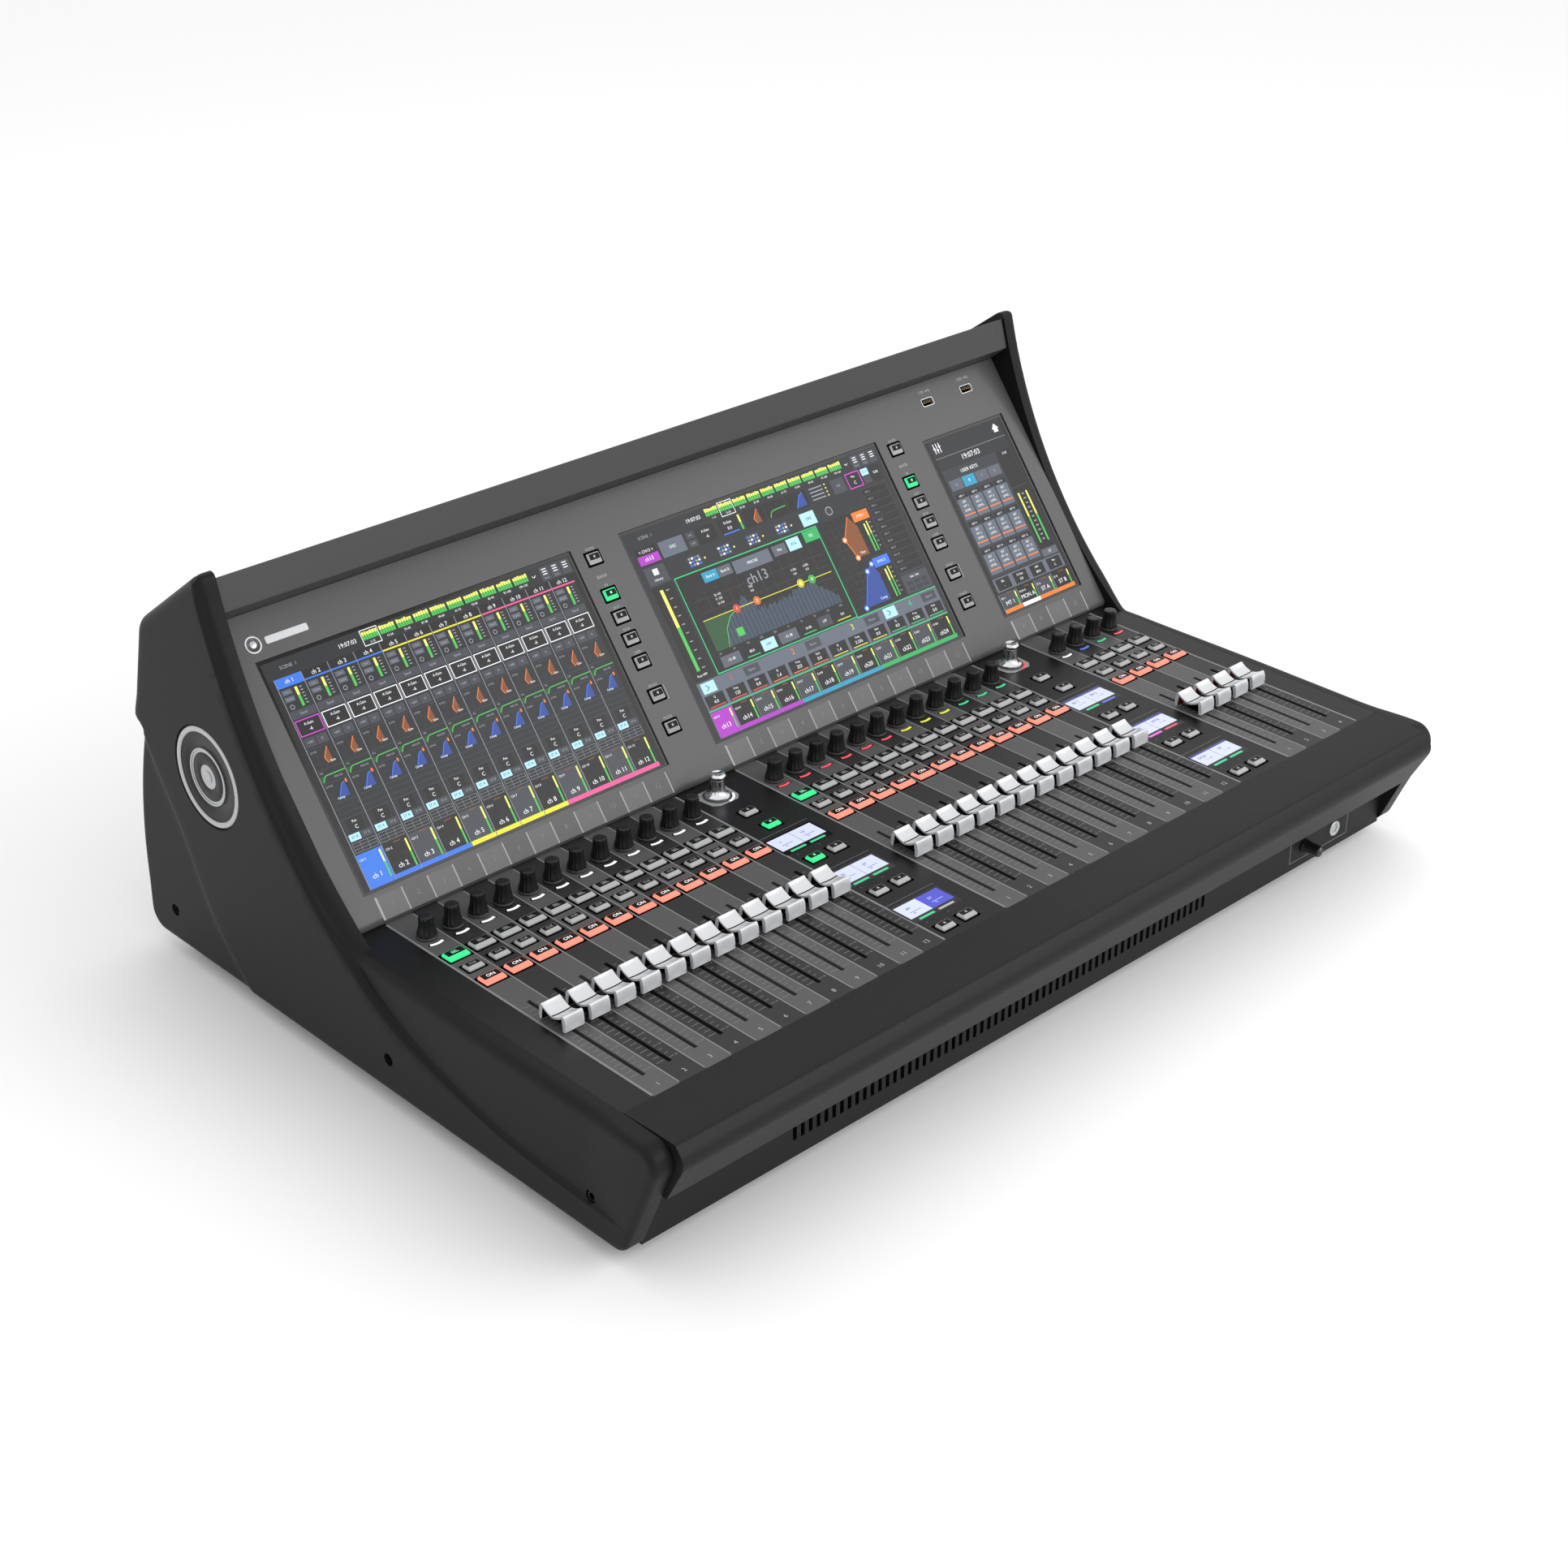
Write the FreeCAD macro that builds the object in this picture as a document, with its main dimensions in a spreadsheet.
import FreeCAD, Part
import Sketcher
import os
import re

Vector = FreeCAD.Vector
doc = FreeCAD.newDocument("MixingConsole")

# Driving sizes in millimetres and degrees. +X is the operator's right, +Y the rear,
# +Z up, and the origin is under the middle of the console on the surface it stands on.
sizes = [
    ("overallWidth", 793), ("overallDepth", 564), ("overallHeight", 324),
    ("footHeight", 13), ("footRadius", 16), ("footTaper", 1.5), ("footInset", 45),
    # side cheeks
    ("cheekThick", 15.6), ("cheekEdge", 4), ("cheekFrontLean", 39), ("noseRadius", 14),
    ("toeRadius", 11), ("heelRadius", 16), ("crownRadius", 5), ("crownEase", 3.36),
    ("bendRadius", 8), ("bendSetback", 13.4), ("shoulderRadius", 22), ("noseStart", 1),
    ("frontSweep", 424), ("sideSweep", 397), ("backSweep", 360), ("sideRelief", 2.5),
    ("notchHeight", 180), ("notchStep", 10), ("notchLean", 10.5), ("notchRise", 8),
    ("heelRise", 42), ("shoulderDrop", 57), ("shoulderInset", 31),
    ("sweepStartHeight", 33), ("sweepInset", 12), ("sweepSetback", 6), ("sweepRise", 4),
    ("reliefRise", 30), ("creaseInset", 12), ("creaseRun", 110), ("creaseSink", 5),
    # how far a cutting shape runs past what it cuts
    ("over", 1), ("farOver", 20),
    # control surface
    ("panelTop", 103), ("panelThick", 3), ("armrestDeep", 53.5), ("bezelFootRun", 320),
    ("stripPitch", 21.35), ("bankOneStart", -356.2), ("bankTwoStart", -40.4),
    ("bankThreeStart", 273.8),
    ("slotWide", 3), ("slotLong", 112), ("slotCentreRun", 77),
    ("stemWide", 1.4), ("stemLong", 12), ("stemDrop", 12), ("faderRestRun", 99),
    ("capWide", 15.6), ("capLong", 26.5), ("capHigh", 11.5), ("capLift", 1.2),
    ("saddleRadius", 15), ("saddleDeep", 4),
    ("knobRun", 238), ("knobRadius", 6.2), ("knobTopRadius", 4.8), ("knobWaist", 0.6), ("knobHigh", 16.6),
    ("skirtHigh", 2.2), ("knobLift", 0.8), ("shaftRadius", 3), ("shaftDrop", 7),
    ("runGap", 0.4),
    ("selRun", 206.9), ("selWide", 16.4), ("selDeep", 10.6),
    ("cueRun", 188.4), ("cueWide", 12.8), ("cueDeep", 8.4),
    ("onRun", 169.1), ("onWide", 16.2), ("onDeep", 11),
    ("keyProud", 2.4), ("keyDrop", 5),
    # section between two banks
    ("sectionOneX", -77), ("sectionTwoX", 239), ("touchRun", 248), ("touchRadius", 6.6),
    ("touchFlange", 9.4), ("touchFlangeHigh", 2.4), ("touchTaper", 4), ("touchFlare", 1),
    ("touchHigh", 19), ("homeKeyRun", 215), ("altKeyRun", 191.4),
    ("bankKeyWide", 12.4), ("bankKeyDeep", 8.6), ("bankKeySpread", 10.4),
    ("displayWide", 38.4), ("displayDeep", 15.6), ("displayRun", 166), ("displayStep", 61.8),
    ("displayKeyRun", 136.2), ("displayModule", 7), ("displayProud", 0.3),
    ("moduleSide", 3), ("moduleEnd", 2),
    # screen bezel
    ("bezelTilt", 52), ("bezelThick", 3), ("bezelRoll", 4), ("lipDrop", 40.8),
    ("screenWide", 270.3), ("screenHigh", 170.8), ("screenBase", 24.1),
    ("leftScreenX", -228.5), ("centreScreenX", 87.2), ("utilityScreenX", 316.4),
    ("utilityWide", 95.7), ("utilityHigh", 157.5), ("utilityBase", 25),
    ("screenGap", 0.2), ("screenModule", 11), ("screenFlange", 3),
    ("bezelKeyWide", 11.6), ("bezelKeyHigh", 8.6), ("bezelKeySink", 0.4), ("keyRowTop", 183.9),
    ("homeDrop", 0), ("inDrop", 28.9), ("outDrop", 46.8), ("groupDrop", 64.4),
    ("userDrop", 82.9), ("sendsDrop", 109.4), ("modeDrop", 135.1),
    ("usbWide", 13.8), ("usbHigh", 7.4), ("usbFirstX", 292.8), ("usbPitch", 45.7),
    ("usbRun", 211.5), ("usbDeep", 14), ("usbWall", 0.8), ("usbFloor", 1.5),
    ("usbProud", 0.4), ("usbTongue", 1.8), ("usbTongueShort", 2.5),
    # covers, tray and rear
    ("wall", 2.5), ("capLean", 7.1), ("lipOverhang", 21.7),
    ("coverDrop", 4.1), ("coverInset", 33.5), ("coverShoulderDrop", 59.5),
    ("coverEndInset", 15.5), ("coverEndHeight", 192), ("lipTuck", 1.7), ("lipTuckDown", 0.35),
    ("ridgeTuck", 0.4), ("ridgeTuckDown", 1.8), ("roofTuckDown", 0.7),
    ("noseHigh", 7), ("noseDrop", 3), ("noseEase", 2.18), ("armrestLip", 43),
    ("armrestSetback", 15.5), ("armrestWall", 4), ("armrestHem", 6), ("armrestProud", 1),
    ("armrestFlatRun", 24), ("armrestEdge", 4),
    ("armrestNoseRadius", 11), ("trayRun", 39), ("trayWallHigh", 47), ("traySideHigh", 52),
    ("ventFirstX", -252), ("ventPitch", 7), ("ventWide", 3.4), ("ventHigh", 16),
    ("ventHeight", 26), ("rearInset", 24), ("rearTop", 190),
    ("xlrFirstX", -315), ("xlrPitch", 30), ("xlrRowOne", 140), ("xlrRowStep", 40),
    ("flangeWide", 26), ("flangeHigh", 31), ("flangeThick", 2), ("barrelRadius", 11.5),
    ("barrelDeep", 22), ("cupRadius", 9.4), ("cupDeep", 15),
    ("netFirstX", 190), ("netPitch", 36), ("netHeight", 140), ("netWide", 12.4),
    ("netHigh", 14), ("netDeep", 16),
    ("powerFirstX", 296), ("powerPitch", 46), ("powerHeight", 100), ("powerWide", 34),
    ("powerHigh", 78), ("inletRim", 3), ("inletWide", 24.4), ("inletHigh", 17), ("inletDeep", 16),
    ("inletDrop", 19), ("rockerRise", 20), ("rockerWide", 13), ("rockerHigh", 20),
    ("rockerDeep", 7), ("rockerGap", 1), ("rockerProud", 1.5), ("pinRadius", 2),
    ("pinReach", 2.5), ("pinPlay", 0.15),
    # headphone outlet under the armrest
    ("phonesHeight", 29.6), ("phonesKnobX", 283.7), ("phonesJackX", 321.7),
    ("phonesRadius", 5.6), ("phonesTaper", 0.8), ("phonesLong", 15),
    ("jackRadius", 3.25), ("jackFlange", 6.5),
    ("jackBarrel", 5.2), ("jackDeep", 18), ("jackProud", 1.2),
    # fasteners and insides
    ("screwHeight", 39), ("screwFrontRun", 70), ("screwMidRun", 272), ("screwRearRun", 529),
    ("screwHead", 4.4), ("screwHeadHigh", 3), ("screwShank", 2.2), ("screwSink", 5),
    ("screwBite", 6), ("screwGap", 0.15),
    ("trackWide", 13), ("trackLong", 134), ("trackHigh", 22), ("trackGap", 1),
    ("boardThick", 1.6), ("boardHeight", 30), ("boardWide", 560), ("boardLong", 300),
    ("boardShift", 80), ("boardSetback", 40), ("postRadius", 3), ("postInset", 12),
    ("keyBoardDrop", 8), ("keyBoardLong", 66), ("keyBoardInset", 8), ("supplyWide", 150),
    ("supplyLong", 96), ("supplyHigh", 42), ("supplyX", -290), ("supplyRun", 220),
    ("supplyGap", 20),
]
aliases = {name for name, value in sizes}
sheet = doc.addObject("Spreadsheet::Sheet", "Dims")
for row, (name, value) in enumerate(sizes, start=1):
    sheet.set("A%d" % row, name)
    sheet.set("B%d" % row, str(value))
    sheet.setAlias("B%d" % row, name)
doc.recompute()

# Places worked out from the driving sizes.
places = {
    "front": "(-overallDepth / 2)",
    "back": "(overallDepth / 2)",
    "innerHalf": "(overallWidth / 2 - cheekThick)",
    "innerWidth": "(overallWidth - 2 * cheekThick)",
    "seam": "(front + armrestDeep)",
    "panelBottom": "(panelTop - panelThick)",
    "bezelFoot": "(front + bezelFootRun)",
    "lipHeight": "(overallHeight - lipDrop)",
    "bezelLength": "((lipHeight - panelTop) / sin(bezelTilt))",
    "lipY": "(bezelFoot + bezelLength * cos(bezelTilt))",
    "capLowY": "(lipY - lipOverhang * sin(bezelTilt))",
    "capLowZ": "(lipHeight + lipOverhang * cos(bezelTilt))",
    "capTopY": "(capLowY + capLean)",
    "capTopZ": "(overallHeight - coverDrop)",
    "floorTop": "(footHeight + wall)",
    "rearFace": "(back - rearInset)",
    "trayFront": "(front + trayRun)",
}


def bound(formula):
    """The formula with every place spelled out and every size read from the sheet."""
    def swap(match):
        word = match.group(0)
        if word in places:
            return bound(places[word])
        return "Dims." + word if word in aliases else word
    return re.sub(r"[A-Za-z_]\w*", swap, formula)


probe = doc.addObject("Part::Vertex", "Probe")


def number(formula):
    """The formula's value, read through a scratch vertex."""
    probe.setExpression("X", bound(formula))
    probe.recompute()
    return probe.X.Value


def bind(item, **formulas):
    for name, formula in formulas.items():
        item.setExpression(name, bound(str(formula)))


def place(item, at):
    for letter, formula in zip("xyz", at):
        item.setExpression("Placement.Base." + letter, bound(str(formula)))
    return item


def box(at, size, name="Box"):
    """A block from its lowest corner."""
    item = doc.addObject("Part::Box", name)
    bind(item, Length=size[0], Width=size[1], Height=size[2])
    return place(item, at)


def centredBox(x, y, low, wide, deep, high):
    """A block centred on x and y, standing on the height low."""
    return box(("%s - (%s) / 2" % (x, wide), "%s - (%s) / 2" % (y, deep), low), (wide, deep, high))


def bezelPoint(x, along, out):
    """A point of the sloping bezel: across, up its face, and out from it."""
    return (x,
            "bezelFoot + (%s) * cos(bezelTilt) - (%s) * sin(bezelTilt)" % (along, out),
            "panelTop + (%s) * sin(bezelTilt) + (%s) * cos(bezelTilt)" % (along, out))


def bezelBox(x, along, out, wide, high, thick):
    """A block lying on the bezel's slope, centred on x and along, from out outwards."""
    item = doc.addObject("Part::Box", "BezelBox")
    item.Placement = FreeCAD.Placement(Vector(), FreeCAD.Rotation(Vector(1, 0, 0), 45))
    item.setExpression("Placement.Rotation.Angle", bound("bezelTilt"))
    bind(item, Length=wide, Width=high, Height=thick)
    corner = bezelPoint("%s - (%s) / 2" % (x, wide), "(%s) - (%s) / 2" % (along, high), out)
    return place(item, corner)


turns = {
    "up": FreeCAD.Rotation(),
    "right": FreeCAD.Rotation(Vector(0, 1, 0), 90),
    "rear": FreeCAD.Rotation(Vector(1, 0, 0), -90),
}


def cylinder(at, radius, length, facing="up"):
    item = doc.addObject("Part::Cylinder", "Cylinder")
    item.Placement = FreeCAD.Placement(Vector(), turns[facing])
    bind(item, Radius=radius, Height=length)
    return place(item, at)


def cone(at, low, high, length, facing="up"):
    item = doc.addObject("Part::Cone", "Cone")
    item.Placement = FreeCAD.Placement(Vector(), turns[facing])
    bind(item, Radius1=low, Radius2=high, Height=length)
    return place(item, at)


def fuse(items):
    joined = doc.addObject("Part::MultiFuse", "Fused")
    joined.Shapes = items
    return joined


def group(items):
    joined = doc.addObject("Part::Compound", "Group")
    joined.Links = items
    return joined


def cut(base, tools):
    result = doc.addObject("Part::Cut", "Cut")
    result.Base = base
    result.Tool = group(tools)
    return result


nodes = []


def node(label, item):
    item.Label = label
    nodes.append(item)
    return item


def arcBetween(start, end, radius, bulge):
    """The arc between two corners whose middle lies to the left (+1) or right (-1)."""
    chord = end - start
    left = Vector(-chord.y, chord.x, 0).normalize()
    drop = (radius ** 2 - (chord.Length / 2) ** 2) ** 0.5
    centre = (start + end) * 0.5 - left * drop * bulge
    circle = Part.Circle(centre, Vector(0, 0, 1), radius)
    first, last = (start, end) if bulge < 0 else (end, start)
    return Part.ArcOfCircle(circle, circle.parameter(first), circle.parameter(last))


def outline(body, corners, name):
    """A closed side-view sketch. A corner is (y, z), or (y, z, radius, bulge) where an
    arc leaves it for the next corner. Every corner is held by the sheet's sizes."""
    sketch = body.newObject("Sketcher::SketchObject", name)
    plane = [f for f in body.Origin.OriginFeatures if f.Role == "YZ_Plane"][0]
    sketch.AttachmentSupport = [(plane, "")]
    sketch.MapMode = "FlatFace"
    points = [Vector(number(c[0]), number(c[1]), 0) for c in corners]
    total = len(corners)
    ends = []
    for i, corner in enumerate(corners):
        here, there = points[i], points[(i + 1) % total]
        if len(corner) == 2:
            sketch.addGeometry(Part.LineSegment(here, there), False)
            ends.append((1, 2))
        else:
            sketch.addGeometry(arcBetween(here, there, number(corner[2]), corner[3]), False)
            ends.append((1, 2) if corner[3] < 0 else (2, 1))
    for i, corner in enumerate(corners):
        after = (i + 1) % total
        sketch.addConstraint(Sketcher.Constraint("Coincident", i, ends[i][1], after, ends[after][0]))
        for kind, formula, value in (("DistanceX", corner[0], points[i].x),
                                     ("DistanceY", corner[1], points[i].y)):
            index = sketch.addConstraint(Sketcher.Constraint(kind, -1, 1, i, ends[i][0], value))
            sketch.setExpression("Constraints[%d]" % index, bound(formula))
        if len(corner) == 4:
            index = sketch.addConstraint(Sketcher.Constraint("Radius", i, number(corner[2])))
            sketch.setExpression("Constraints[%d]" % index, bound(corner[2]))
    return sketch


def pad(body, sketch, length, middle=False):
    item = body.newObject("PartDesign::Pad", "Pad")
    item.Profile = sketch
    item.Midplane = middle
    item.setExpression("Length", bound(length))
    doc.recompute()
    return item


def edgesAlongX(shape, corners):
    """Names of the edges that run across the console at the given side-view corners."""
    names = []
    for index, edge in enumerate(shape.Edges, start=1):
        box = edge.BoundBox
        if box.YLength > 0.01 or box.ZLength > 0.01 or box.XLength < 1:
            continue
        for y, z in corners:
            if abs(box.YMin - number(y)) < 0.01 and abs(box.ZMin - number(z)) < 0.01:
                names.append("Edge%d" % index)
    return names


def rounded(body, base, names, radius):
    item = body.newObject("PartDesign::Fillet", "Fillet")
    item.Base = (base, names)
    item.setExpression("Radius", bound(radius))
    doc.recompute()
    return item


def cheek(label, side):
    """One side cheek: the full side outline, eased edges, and two reliefs in its outer
    face, above the sweep along the arm and behind the slanting crease at the rear."""
    body = doc.addObject("PartDesign::Body", "Cheek")
    toe = ("front + cheekFrontLean", "footHeight")
    heel = ("back", "footHeight")
    shoulder = ("back - shoulderInset", "overallHeight - shoulderDrop")
    crown = ("capTopY", "overallHeight + crownEase")
    nose = ("front + noseStart", "panelTop")
    bend = ("bezelFoot - bendSetback", "panelTop")
    sketch = outline(body, [
        toe, heel,
        ("back", "footHeight + heelRise", "backSweep", -1),
        ("back - notchStep - notchLean", "notchHeight"),
        ("back - notchStep", "notchHeight + notchRise"),
        shoulder,
        crown + ("frontSweep", 1),
        bend,
        nose,
    ], "CheekOutline")
    step = pad(body, sketch, "cheekThick")
    for corner, radius in ((toe, "toeRadius"), (heel, "heelRadius"), (shoulder, "shoulderRadius"),
                           (crown, "crownRadius"), (bend, "bendRadius"), (nose, "noseRadius")):
        step = rounded(body, step, edgesAlongX(step.Shape, [corner]), radius)
    outer = 0 if side < 0 else number("cheekThick")
    rim = []
    for index, edge in enumerate(step.Shape.Edges, start=1):
        flat = edge.BoundBox.XLength < 0.01 and abs(edge.BoundBox.XMin - outer) < 0.01
        if flat:
            rim.append("Edge%d" % index)
    easing = body.newObject("PartDesign::Chamfer", "Easing")
    easing.Base = (step, rim)
    easing.setExpression("Size", bound("cheekEdge"))
    doc.recompute()
    step = easing
    reliefs = [
        # above the sweep that runs from the toe up to the front of the upright
        [("front + sweepInset", "sweepStartHeight", "sideSweep", -1),
         ("bezelFoot - sweepSetback", "panelTop + sweepRise"),
         ("bezelFoot - sweepSetback", "panelTop + reliefRise"),
         ("front - farOver", "panelTop + reliefRise"), ("front - farOver", "sweepStartHeight")],
        # behind the crease that falls from the notch to the foot
        [("back - notchStep - creaseInset", "notchHeight"), ("back + farOver", "notchHeight"),
         ("back + farOver", "footHeight - creaseSink"),
         ("back - notchStep - creaseInset - creaseRun", "footHeight - creaseSink")],
    ]
    for corners in reliefs:
        shape = outline(body, corners, "Relief")
        if side > 0:
            shape.setExpression("AttachmentOffset.Base.z", bound("cheekThick"))
        pocket = body.newObject("PartDesign::Pocket", "ReliefCut")
        pocket.Profile = shape
        pocket.Reversed = side < 0
        pocket.setExpression("Length", bound("sideRelief"))
        doc.recompute()
    bores = []
    start = "-overallWidth / 2" if side < 0 else "overallWidth / 2 - screwSink - sideRelief"
    for run in ("screwFrontRun", "screwMidRun", "screwRearRun"):
        at = ("-overallWidth / 2 - over" if side < 0 else "innerHalf - over",
              "front + " + run, "screwHeight")
        bores.append(cylinder(at, "screwShank + screwGap", "cheekThick + 2 * over", "right"))
        bores.append(cylinder((start, "front + " + run, "screwHeight"), "screwHead + screwGap",
                              "screwSink + sideRelief", "right"))
    bind(body, **{"Placement.Base.x": "-overallWidth / 2" if side < 0 else "innerHalf"})
    return node(label, cut(body, bores))


def profilePart(label, corners, roundings=()):
    """A part with one side outline, as wide as the space between the cheeks."""
    body = doc.addObject("PartDesign::Body", "Profile")
    step = pad(body, outline(body, corners, "Outline"), "innerWidth", middle=True)
    for corner, radius in roundings:
        step = rounded(body, step, edgesAlongX(step.Shape, [corner]), radius)
    if label:
        node(label, body)
    return body


banks = [("bankOneStart", 12), ("bankTwoStart", 12), ("bankThreeStart", 4)]
strips = []
for bank, (start, count) in enumerate(banks, start=1):
    for place_in_bank in range(count):
        middle = "(%s + stripPitch * %d + stripPitch / 2)" % (start, place_in_bank)
        strips.append((bank, place_in_bank + 1, middle))
sections = ["sectionOneX", "sectionTwoX"]


def keyRow(run, wide, deep):
    """One key in every strip, through its window in the control panel."""
    keys, windows = [], []
    y = "seam + " + run
    for strip in strips:
        middle = strip[2]
        keys.append(centredBox(middle, y, "panelTop - keyDrop", wide, deep, "keyDrop + keyProud"))
        windows.append(centredBox(middle, y, "panelBottom - over", wide + " + 2 * runGap",
                                  deep + " + 2 * runGap", "panelThick + 2 * over"))
    return keys, windows


def controlSurface():
    """The flat panel with its windows, and all that works through it."""
    openings = []
    for label, run in (("sel_keys", "sel"), ("cue_keys", "cue"), ("on_keys", "on")):
        keys, windows = keyRow(run + "Run", run + "Wide", run + "Deep")
        node(label, group(keys))
        openings += windows
    knobs, tracks, grooves = [], [], []
    for bank, index, middle in strips:
        y = "seam + knobRun"
        skirt = cylinder((middle, y, "panelTop + knobLift"), "knobRadius", "skirtHigh")
        grip = cone((middle, y, "panelTop + knobLift + skirtHigh"), "knobRadius - knobWaist",
                    "knobTopRadius", "knobHigh - skirtHigh")
        shaft = cylinder((middle, y, "panelTop - shaftDrop"), "shaftRadius", "shaftDrop + knobLift + over")
        knobs.append(fuse([skirt, grip, shaft]))
        openings.append(cylinder((middle, y, "panelBottom - over"), "shaftRadius + runGap",
                                 "panelThick + 2 * over"))
        slotY = "seam + slotCentreRun"
        openings.append(centredBox(middle, slotY, "panelBottom - over", "slotWide", "slotLong",
                                   "panelThick + 2 * over"))
        tracks.append(centredBox(middle, slotY, "panelBottom - trackHigh", "trackWide", "trackLong",
                                 "trackHigh"))
        grooves.append(centredBox(middle, slotY, "panelTop - stemDrop - trackGap", "slotWide",
                                  "slotLong + 2", "stemDrop"))
        fader(bank, index, middle)
    node("encoder_knobs", group(knobs))
    node("fader_tracks", cut(group(tracks), grooves))
    bankKeys, displays = [], []
    for order, x in enumerate(sections, start=1):
        spots = [(x, "homeKeyRun"), (x, "altKeyRun")]
        for row in range(3):
            run = "displayKeyRun - displayStep * %d" % row
            spots += [("(%s - bankKeySpread)" % x, run), ("(%s + bankKeySpread)" % x, run)]
            y = "seam + displayRun - displayStep * %d" % row
            glass = centredBox(x, y, "panelBottom - over", "displayWide", "displayDeep",
                               "panelThick + over + displayProud")
            module = centredBox(x, y, "panelBottom - displayModule", "displayWide + 2 * moduleSide",
                                "displayDeep + 2 * moduleEnd", "displayModule")
            displays.append(fuse([glass, module]))
            openings.append(centredBox(x, y, "panelBottom - over", "displayWide + 2 * screenGap",
                                       "displayDeep + 2 * screenGap", "panelThick + 2 * over"))
        for keyX, run in spots:
            y = "seam + " + run
            bankKeys.append(centredBox(keyX, y, "panelTop - keyDrop", "bankKeyWide", "bankKeyDeep",
                                       "keyDrop + keyProud"))
            openings.append(centredBox(keyX, y, "panelBottom - over", "bankKeyWide + 2 * runGap",
                                       "bankKeyDeep + 2 * runGap", "panelThick + 2 * over"))
        y = "seam + touchRun"
        touch = fuse([
            cylinder((x, y, "panelTop + knobLift"), "touchFlange", "touchFlangeHigh"),
            cone((x, y, "panelTop + knobLift + touchFlangeHigh"), "touchRadius + touchFlare",
                 "touchRadius", "touchTaper"),
            cylinder((x, y, "panelTop + knobLift + touchFlangeHigh + touchTaper"), "touchRadius",
                     "touchHigh - knobLift - touchFlangeHigh - touchTaper"),
            cylinder((x, y, "panelTop - shaftDrop"), "shaftRadius", "shaftDrop + knobLift + over")])
        node("touch_knob_%d" % order, touch)
        openings.append(cylinder((x, y, "panelBottom - over"), "shaftRadius + runGap",
                                 "panelThick + 2 * over"))
    node("bank_keys", group(bankKeys))
    node("bank_displays", group(displays))
    plate = box(("-innerHalf", "seam", "panelBottom"),
                ("innerWidth", "bezelFoot + bezelRoll * 2 - seam", "panelThick"))
    node("control_panel", cut(plate, openings))


def fader(bank, index, middle):
    """One motor fader's moving piece: a cap with a finger saddle, on a flat stem."""
    y = "seam + faderRestRun"
    low = "panelTop + capLift"
    block = centredBox(middle, y, low, "capWide", "capLong", "capHigh")
    saddle = cylinder(("%s - capWide" % middle, y, "%s + capHigh + saddleRadius - saddleDeep" % low),
                      "saddleRadius", "capWide * 2", "right")
    stem = centredBox(middle, y, "panelTop - stemDrop", "stemWide", "stemLong",
                      "stemDrop + capLift + over")
    node("fader_%d_%02d" % (bank, index), fuse([cut(block, [saddle]), stem]))


def screen(label, x, base, wide, high):
    """A touch screen: its glass fills the bezel's window, its case bears on the back."""
    glass = bezelBox(x, "%s + %s / 2" % (base, high), "-bezelThick - over", "%s - 2 * screenGap" % wide,
                     "%s - 2 * screenGap" % high, "bezelThick + over")
    case = bezelBox(x, "%s + %s / 2" % (base, high), "-bezelThick - screenModule",
                    "%s + 2 * screenFlange" % wide, "%s + 2 * screenFlange" % high, "screenModule")
    node(label, fuse([glass, case]))
    return bezelBox(x, "%s + %s / 2" % (base, high), "-bezelThick - over", wide, high,
                    "bezelThick + 2 * over")


keyDrops = ["homeDrop", "inDrop", "outDrop", "groupDrop", "userDrop", "sendsDrop", "modeDrop"]


def bezel():
    """The sloping screen bezel with a rolled foot, its screens, keys and USB sockets."""
    windows = [
        screen("left_screen", "leftScreenX", "screenBase", "screenWide", "screenHigh"),
        screen("centre_screen", "centreScreenX", "screenBase", "screenWide", "screenHigh"),
        screen("utility_screen", "utilityScreenX", "utilityBase", "utilityWide", "utilityHigh"),
    ]
    keys = []
    for x in sections:
        for drop in keyDrops:
            along = "keyRowTop - %s" % drop
            keys.append(bezelBox(x, along, "-bezelThick - 2 * over", "bezelKeyWide", "bezelKeyHigh",
                                 "bezelThick + 2 * over + keyProud - bezelKeySink"))
            windows.append(bezelBox(x, along, "-bezelThick - over", "bezelKeyWide + 2 * runGap",
                                    "bezelKeyHigh + 2 * runGap", "bezelThick + 2 * over"))
    node("bezel_keys", group(keys))
    ports = []
    for index in range(2):
        x = "(usbFirstX + usbPitch * %d)" % index
        shell = bezelBox(x, "usbRun", "-usbDeep", "usbWide", "usbHigh", "usbDeep + usbProud")
        hollow = bezelBox(x, "usbRun", "-usbDeep + usbFloor", "usbWide - 2 * usbWall",
                          "usbHigh - 2 * usbWall", "usbDeep")
        tongue = bezelBox(x, "usbRun", "-usbDeep + over", "usbWide - 4 * usbWall", "usbTongue",
                          "usbDeep - usbTongueShort")
        ports.append(fuse([cut(shell, [hollow]), tongue]))
        windows.append(bezelBox(x, "usbRun", "-bezelThick - over", "usbWide", "usbHigh",
                                "bezelThick + 2 * over"))
    node("usb_ports", group(ports))
    slope = bezelBox("0", "bezelLength / 2 + bezelRoll / 2", "-bezelThick", "innerWidth",
                     "bezelLength - bezelRoll", "bezelThick")
    rollY = "bezelFoot + bezelRoll * (1 + cos(bezelTilt)) / sin(bezelTilt)"
    roll = cylinder(("-innerHalf", rollY, "panelTop + bezelRoll"), "bezelRoll", "innerWidth", "right")
    node("screen_bezel", cut(fuse([slope, roll]), windows))


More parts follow.
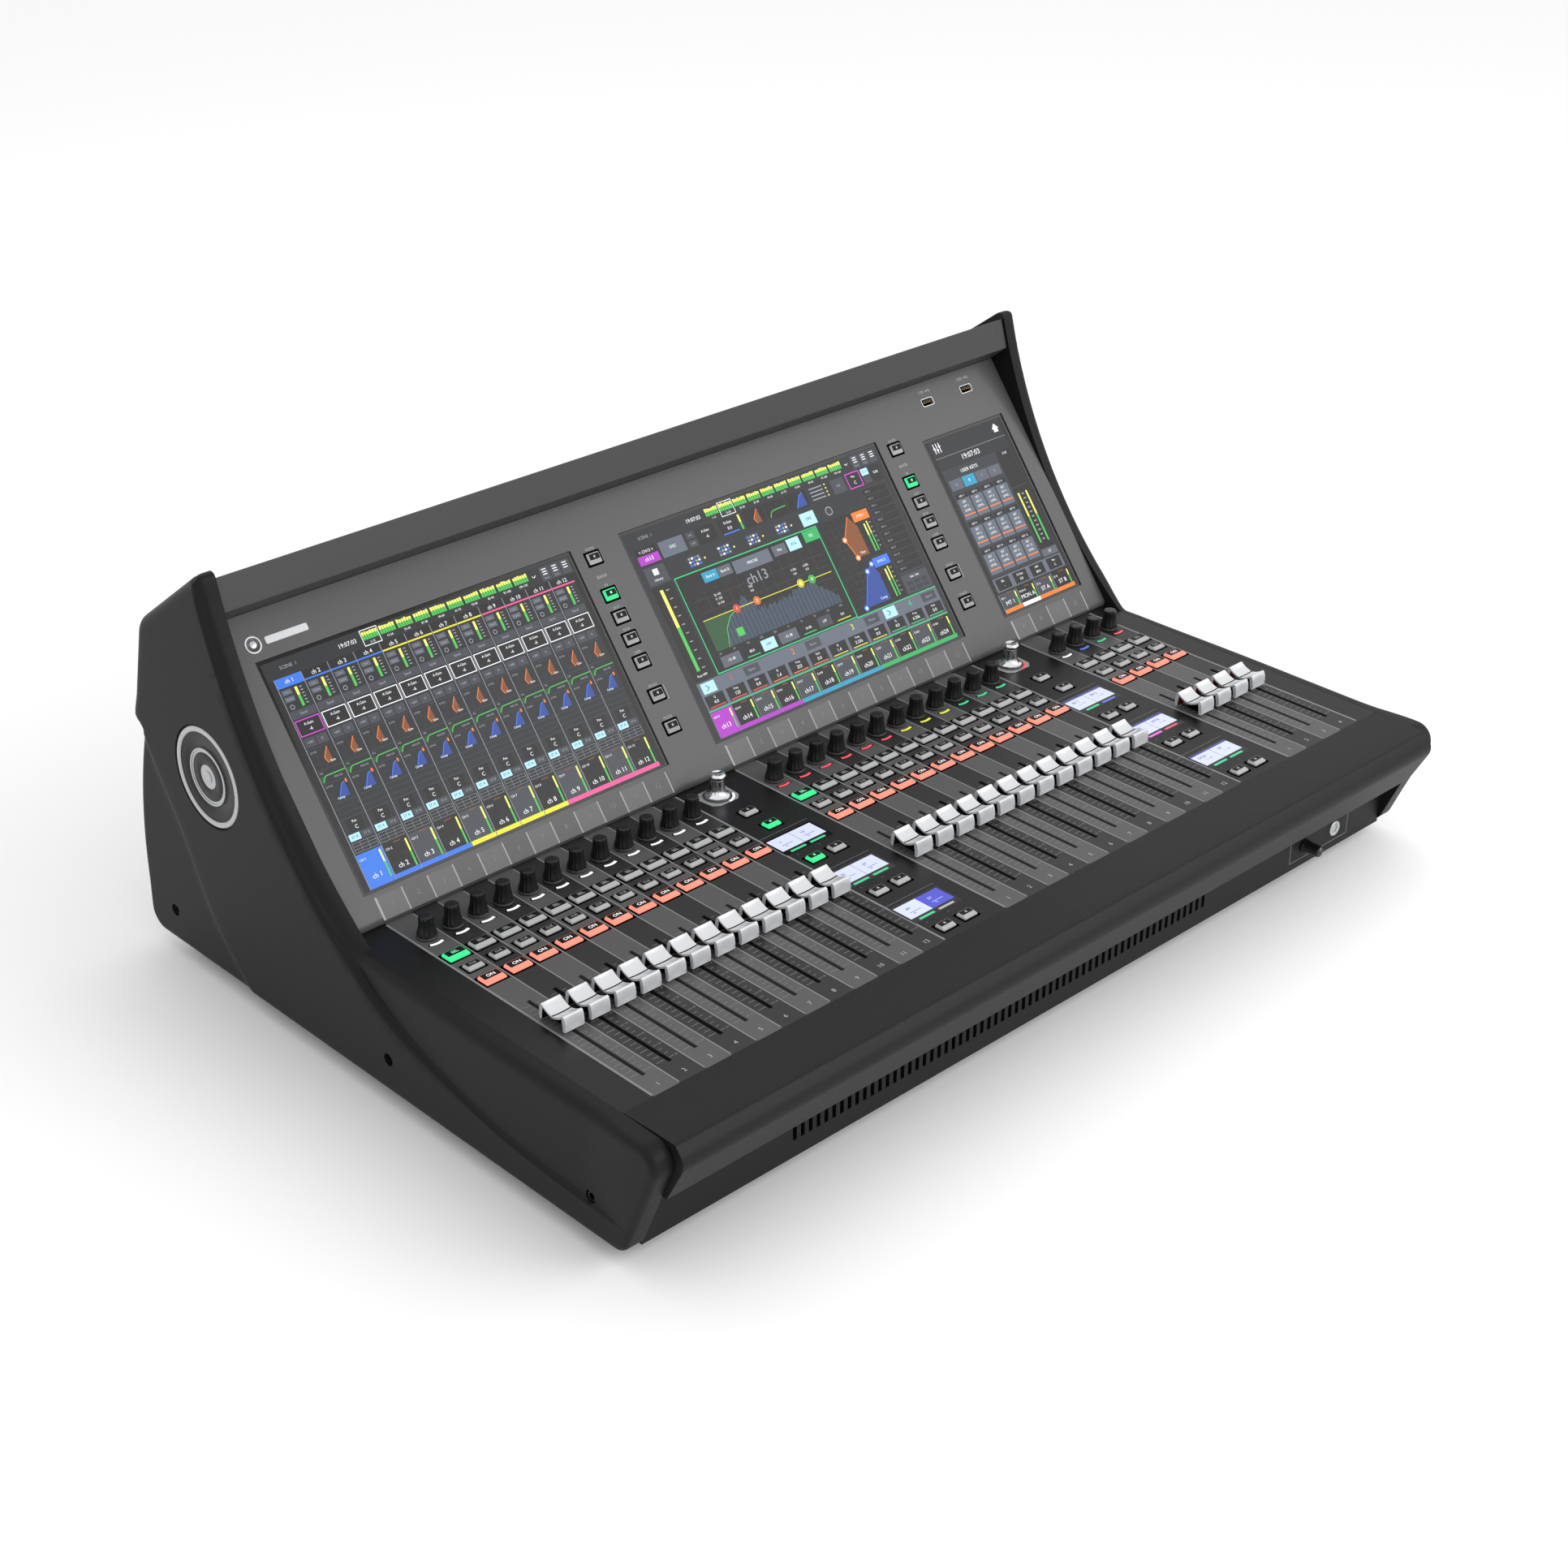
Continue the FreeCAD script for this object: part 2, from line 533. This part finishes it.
def topCover():
    """One bent cover: the face above the screens, the sloping roof and the upper back."""
    profilePart("top_cover", [
        ("capLowY", "capLowZ"), ("lipY", "lipHeight"),
        ("lipY + wall * cos(bezelTilt)", "lipHeight + wall * sin(bezelTilt)"),
        ("capLowY + wall * lipTuck", "capLowZ + wall * lipTuckDown"),
        ("capTopY + wall * ridgeTuck", "capTopZ - wall * ridgeTuckDown"),
        ("back - coverInset - wall", "overallHeight - coverShoulderDrop - wall * roofTuckDown"),
        ("back - coverEndInset - wall", "coverEndHeight"),
        ("back - coverEndInset", "coverEndHeight"),
        ("back - coverInset", "overallHeight - coverShoulderDrop"),
        ("capTopY", "capTopZ"),
    ])


def armrest():
    """The padded-looking front rail: a hollow section with a full round nose."""
    profilePart("armrest", [
        ("seam", "panelTop"), ("seam", "panelTop - armrestWall - armrestHem"),
        ("seam - armrestWall", "panelTop - armrestWall - armrestHem"),
        ("seam - armrestWall", "panelTop - armrestWall"),
        ("front + noseHigh + armrestWall", "panelTop - armrestWall"),
        ("front + armrestSetback + armrestWall", "panelTop - armrestLip + armrestWall"),
        ("trayFront", "panelTop - armrestLip + armrestWall"),
        ("trayFront", "panelTop - armrestLip"),
        ("front + armrestSetback", "panelTop - armrestLip"),
        ("front - noseEase", "panelTop - noseHigh - noseDrop"),
        ("front + noseHigh", "panelTop + armrestProud"),
        ("front + armrestFlatRun", "panelTop + armrestProud"),
    ], [(("front - noseEase", "panelTop - noseHigh - noseDrop"), "armrestNoseRadius"),
        (("front + noseHigh", "panelTop + armrestProud"), "armrestEdge")])


def tray():
    """The floor pan: floor, front wall with vents and the phones outlet, side walls."""
    length = "rearFace - wall - trayFront"
    floor = box(("-innerHalf", "trayFront", "footHeight"), ("innerWidth", length, "wall"))
    front = box(("-innerHalf", "trayFront", "floorTop"), ("innerWidth", "wall", "trayWallHigh - wall"))
    sides = [box((x, "trayFront + wall", "floorTop"), ("wall", length + " - wall", "traySideHigh"))
             for x in ("-innerHalf", "innerHalf - wall")]
    holes = []
    for index in range(60):
        holes.append(centredBox("(ventFirstX + ventPitch * %d)" % index, "trayFront", "ventHeight",
                                "ventWide", "wall * 4", "ventHigh"))
    for x, radius in (("phonesKnobX", "shaftRadius + runGap"), ("phonesJackX", "jackBarrel")):
        holes.append(cylinder((x, "trayFront - over", "phonesHeight"), radius, "wall + 2 * over", "rear"))
    for run in ("screwFrontRun", "screwMidRun", "screwRearRun"):
        holes.append(cylinder(("-overallWidth / 2", "front + " + run, "screwHeight"),
                              "screwShank + screwGap", "overallWidth", "right"))
    node("bottom_tray", cut(fuse([floor, front] + sides), holes))


def phones():
    """Headphone jack and its level knob in the tray's front wall."""
    flange = cylinder(("phonesJackX", "trayFront - jackProud", "phonesHeight"), "jackFlange",
                      "jackProud", "rear")
    barrel = cylinder(("phonesJackX", "trayFront - jackProud", "phonesHeight"), "jackBarrel",
                      "jackDeep", "rear")
    bore = cylinder(("phonesJackX", "trayFront - jackProud - over", "phonesHeight"), "jackRadius",
                    "jackDeep - over", "rear")
    node("phones_jack", cut(fuse([flange, barrel]), [bore]))
    grip = cone(("phonesKnobX", "trayFront - phonesLong", "phonesHeight"), "phonesRadius - phonesTaper",
                "phonesRadius", "phonesLong - knobLift", "rear")
    shaft = cylinder(("phonesKnobX", "trayFront - knobLift - over", "phonesHeight"), "shaftRadius",
                     "shaftDrop + over", "rear")
    node("phones_knob", fuse([grip, shaft]))


def rear():
    """The connector panel between the cheeks, with its sockets and mains inlets."""
    holes, sockets, network, inlets, rockers = [], [], [], [], []
    for row in range(3):
        for column in range(16):
            x = "(xlrFirstX + xlrPitch * %d)" % column
            z = "(xlrRowOne - xlrRowStep * %d)" % row
            holes.append(cylinder((x, "rearFace - wall - over", z), "barrelRadius",
                                  "wall + 2 * over", "rear"))
            plate = box((x + " - flangeWide / 2", "rearFace", z + " - flangeHigh / 2"),
                        ("flangeWide", "flangeThick", "flangeHigh"))
            barrel = cylinder((x, "rearFace + flangeThick - barrelDeep", z), "barrelRadius",
                              "barrelDeep", "rear")
            socket = fuse([plate, barrel])
            if row == 2:
                cup = cylinder((x, "rearFace + flangeThick - cupDeep", z), "cupRadius",
                               "cupDeep + over", "rear")
                socket = cut(socket, [cup])
            sockets.append(socket)
    for index in range(3):
        x = "(netFirstX + netPitch * %d)" % index
        holes.append(cylinder((x, "rearFace - wall - over", "netHeight"), "barrelRadius",
                              "wall + 2 * over", "rear"))
        plate = box((x + " - flangeWide / 2", "rearFace", "netHeight - flangeHigh / 2"),
                    ("flangeWide", "flangeThick", "flangeHigh"))
        barrel = cylinder((x, "rearFace + flangeThick - barrelDeep", "netHeight"), "barrelRadius",
                          "barrelDeep", "rear")
        mouth = box((x + " - netWide / 2", "rearFace + flangeThick - netDeep", "netHeight - netHigh / 2"),
                    ("netWide", "netDeep + over", "netHigh"))
        network.append(cut(fuse([plate, barrel]), [mouth]))
    for index in range(2):
        x = "(powerFirstX + powerPitch * %d)" % index
        z = "(powerHeight - inletDrop)"
        holes.append(box((x + " - powerWide / 2 + inletRim", "rearFace - wall - over",
                          "powerHeight - powerHigh / 2 + inletRim"),
                         ("powerWide - 2 * inletRim", "wall + 2 * over", "powerHigh - 2 * inletRim")))
        plate = box((x + " - powerWide / 2", "rearFace", "powerHeight - powerHigh / 2"),
                    ("powerWide", "flangeThick", "powerHigh"))
        case = box((x + " - powerWide / 2 + inletRim", "rearFace + flangeThick - inletDeep - 2 * over",
                    "powerHeight - powerHigh / 2 + inletRim"),
                   ("powerWide - 2 * inletRim", "inletDeep + over", "powerHigh - 2 * inletRim"))
        mouth = box((x + " - inletWide / 2", "rearFace + flangeThick - inletDeep", z + " - inletHigh / 2"),
                    ("inletWide", "inletDeep + over", "inletHigh"))
        well = box((x + " - rockerWide / 2 - rockerGap", "rearFace - rockerDeep - 3 * over",
                    "powerHeight + rockerRise - rockerHigh / 2 - rockerGap"),
                   ("rockerWide + 2 * rockerGap", "rockerDeep + flangeThick + 4 * over",
                    "rockerHigh + 2 * rockerGap"))
        pivot = "rearFace + flangeThick + rockerProud - rockerDeep"
        z = "(powerHeight + rockerRise)"
        bearing = cylinder((x + " - rockerWide / 2 - pinReach - pinPlay", pivot, z), "pinRadius + pinPlay",
                           "rockerWide + 2 * pinReach + 2 * pinPlay", "right")
        inlets.append(cut(fuse([plate, case]), [mouth, well, bearing]))
        pin = cylinder((x + " - rockerWide / 2 - pinReach", pivot, z), "pinRadius",
                       "rockerWide + 2 * pinReach", "right")
        paddle = box((x + " - rockerWide / 2", pivot, z + " - rockerHigh / 2"),
                     ("rockerWide", "rockerDeep", "rockerHigh"))
        rockers.append(fuse([paddle, pin]))
    node("xlr_sockets", group(sockets))
    node("network_ports", group(network))
    node("power_inlets", group(inlets))
    node("power_switches", group(rockers))
    plate = box(("-innerHalf", "rearFace - wall", "footHeight"),
                ("innerWidth", "wall", "rearTop - footHeight"))
    ledge = box(("-innerHalf", "rearFace - wall", "rearTop - wall"),
                ("innerWidth", "rearInset - coverEndInset", "wall"))
    node("rear_panel", cut(fuse([plate, ledge]), holes))


def fasteners():
    """Cheek screws and the four feet."""
    screws = []
    for side in (-1, 1):
        for run in ("screwFrontRun", "screwMidRun", "screwRearRun"):
            y = "front + " + run
            depth = "screwSink + sideRelief"
            if side < 0:
                head = ("-overallWidth / 2 + %s - screwHeadHigh" % depth, y, "screwHeight")
                shank = ("-overallWidth / 2 + %s - over" % depth, y, "screwHeight")
            else:
                head = ("overallWidth / 2 - (%s)" % depth, y, "screwHeight")
                shank = ("innerHalf - screwBite + sideRelief", y, "screwHeight")
            long = "cheekThick - (%s) + over + screwBite - sideRelief" % depth
            screws.append(fuse([cylinder(head, "screwHead", "screwHeadHigh", "right"),
                                cylinder(shank, "screwShank", long, "right")]))
    node("cheek_screws", group(screws))
    feet = []
    for x in ("-innerHalf + footInset", "innerHalf - footInset"):
        for y in ("trayFront + footInset", "rearFace - footInset"):
            feet.append(cone((x, y, "0"), "footRadius - footTaper", "footRadius", "footHeight"))
    node("rubber_feet", group(feet))


def insides():
    """Circuit boards on posts, and two power supplies on the floor pan."""
    board = box(("-boardWide / 2 + boardShift", "trayFront + boardSetback", "boardHeight"),
                ("boardWide", "boardLong", "boardThick"))
    posts = [cylinder(("boardShift + " + x, "trayFront + boardSetback + " + y, "floorTop"),
                      "postRadius", "boardHeight - floorTop")
             for x in ("postInset - boardWide / 2", "0", "boardWide / 2 - postInset")
             for y in ("postInset", "boardLong - postInset")]
    keyBoard = box(("-innerHalf + keyBoardInset", "seam + onRun - onDeep",
                    "panelTop - keyDrop - keyBoardDrop"),
                   ("innerWidth - 2 * keyBoardInset", "keyBoardLong", "boardThick"))
    node("circuit_boards", group([fuse([board] + posts), keyBoard]))
    supplies = [box(("supplyX - supplyWide / 2", "trayFront + supplyRun + " + y, "floorTop"),
                    ("supplyWide", "supplyLong", "supplyHigh"))
                for y in ("0", "supplyLong + supplyGap")]
    node("power_supplies", group(supplies))


cheek("left_cheek", -1)
cheek("right_cheek", 1)
controlSurface()
bezel()
topCover()
armrest()
tray()
phones()
rear()
fasteners()
insides()
doc.removeObject(probe.Name)
doc.recompute()

broken = [item.Label for item in doc.Objects
          if "Invalid" in item.State or "Error" in item.State]
if broken:
    raise RuntimeError("features that failed: " + ", ".join(broken))
for item in nodes:
    if item.Shape.isNull() or not item.Shape.isValid():
        raise RuntimeError("bad shape: " + item.Label)
os.makedirs("parts", exist_ok=True)
for item in nodes:
    item.Shape.exportStep("parts/%s.step" % item.Label)
whole = Part.makeCompound([item.Shape for item in nodes]).BoundBox
print("%d parts, %.1f x %.1f x %.1f mm" % (len(nodes), whole.XLength, whole.YLength, whole.ZLength))
print("x %.2f %.2f  y %.2f %.2f  z %.2f %.2f" % (whole.XMin, whole.XMax, whole.YMin, whole.YMax,
                                                 whole.ZMin, whole.ZMax))
